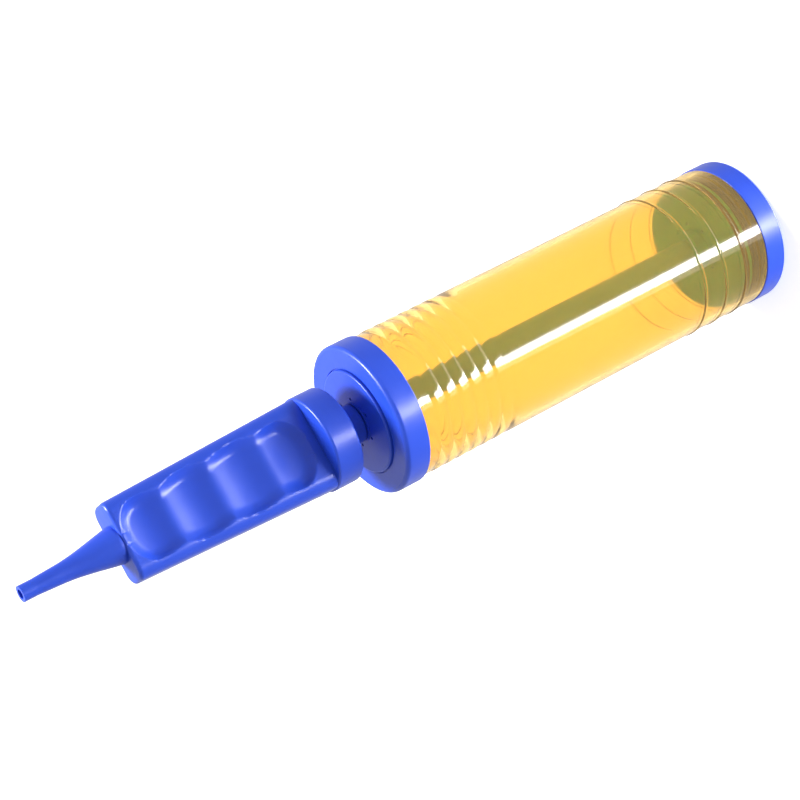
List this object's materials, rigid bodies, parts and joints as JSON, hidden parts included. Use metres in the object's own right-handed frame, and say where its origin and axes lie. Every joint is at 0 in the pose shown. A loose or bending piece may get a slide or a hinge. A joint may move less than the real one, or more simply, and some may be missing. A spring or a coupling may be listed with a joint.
{
  "type": "balloon hand pump",
  "caption": "Hand-held balloon pump that blows on both strokes: clear ribbed barrel with blue caps, hollow plunger rod, flat finger-grip handle and tapered nozzle.",
  "frame": {"origin": "centre of the rear cap's rear face, on which the pump stands", "axes": "+Z along the pump towards the nozzle, X across the broad face of the handle, -Y out of the handle's finger face"},
  "size_m": [0.0536, 0.0536, 0.2989],
  "materials": {
    "clear_barrel": "clear tinted gloss",
    "blue_plastic": "satin gloss moulded",
    "bearing_plastic": "matt",
    "seal_rubber": "matt",
    "screw_steel": "plated"
  },
  "bodies": {
    "barrel_body": {"barrel": "clear_barrel", "rear_cap": "blue_plastic", "rear_cap_gasket": "seal_rubber", "rear_valve_cage": "bearing_plastic", "front_cap": "blue_plastic", "front_cap_gasket": "seal_rubber", "rod_bush": "bearing_plastic", "rod_seal": "seal_rubber", "gland_ring": "blue_plastic", "front_valve_retainer": "bearing_plastic"},
    "rear_valve": {"rear_valve_flap": "seal_rubber"},
    "front_valve": {"front_valve_washer": "seal_rubber"},
    "seal": {"piston_seal": "seal_rubber"},
    "plunger": {"piston_front_plate": "blue_plastic", "piston_rear_plate": "blue_plastic", "piston_valve_cage": "bearing_plastic", "piston_screws": "screw_steel", "piston_rod": "blue_plastic", "handle_collar": "blue_plastic", "handle_grip": "blue_plastic", "nozzle": "blue_plastic"},
    "push_valve": {"push_valve_flap": "seal_rubber"},
    "pull_valve": {"pull_valve_washer": "seal_rubber"}
  },
  "joints": [
    {"name": "plunger_slide", "type": "slide", "parent": "barrel_body", "child": "seal", "axis": [0, 0, 1], "range_m": [0, 0.134]},
    {"name": "plunger_spin", "type": "hinge", "parent": "seal", "child": "plunger", "pos_m": [0, 0, 0.0168], "axis": [0, 0, 1], "continuous": true},
    {"name": "rear_valve_lift", "type": "slide", "parent": "barrel_body", "child": "rear_valve", "axis": [0, 0, 1], "range_m": [0, 0.001]},
    {"name": "front_valve_lift", "type": "slide", "parent": "barrel_body", "child": "front_valve", "axis": [0, 0, 1], "range_m": [0, 0.001]},
    {"name": "push_valve_lift", "type": "slide", "parent": "plunger", "child": "push_valve", "axis": [0, 0, 1], "range_m": [0, 0.001]},
    {"name": "pull_valve_lift", "type": "slide", "parent": "plunger", "child": "pull_valve", "axis": [0, 0, 1], "range_m": [0, 0.001]}
  ]
}
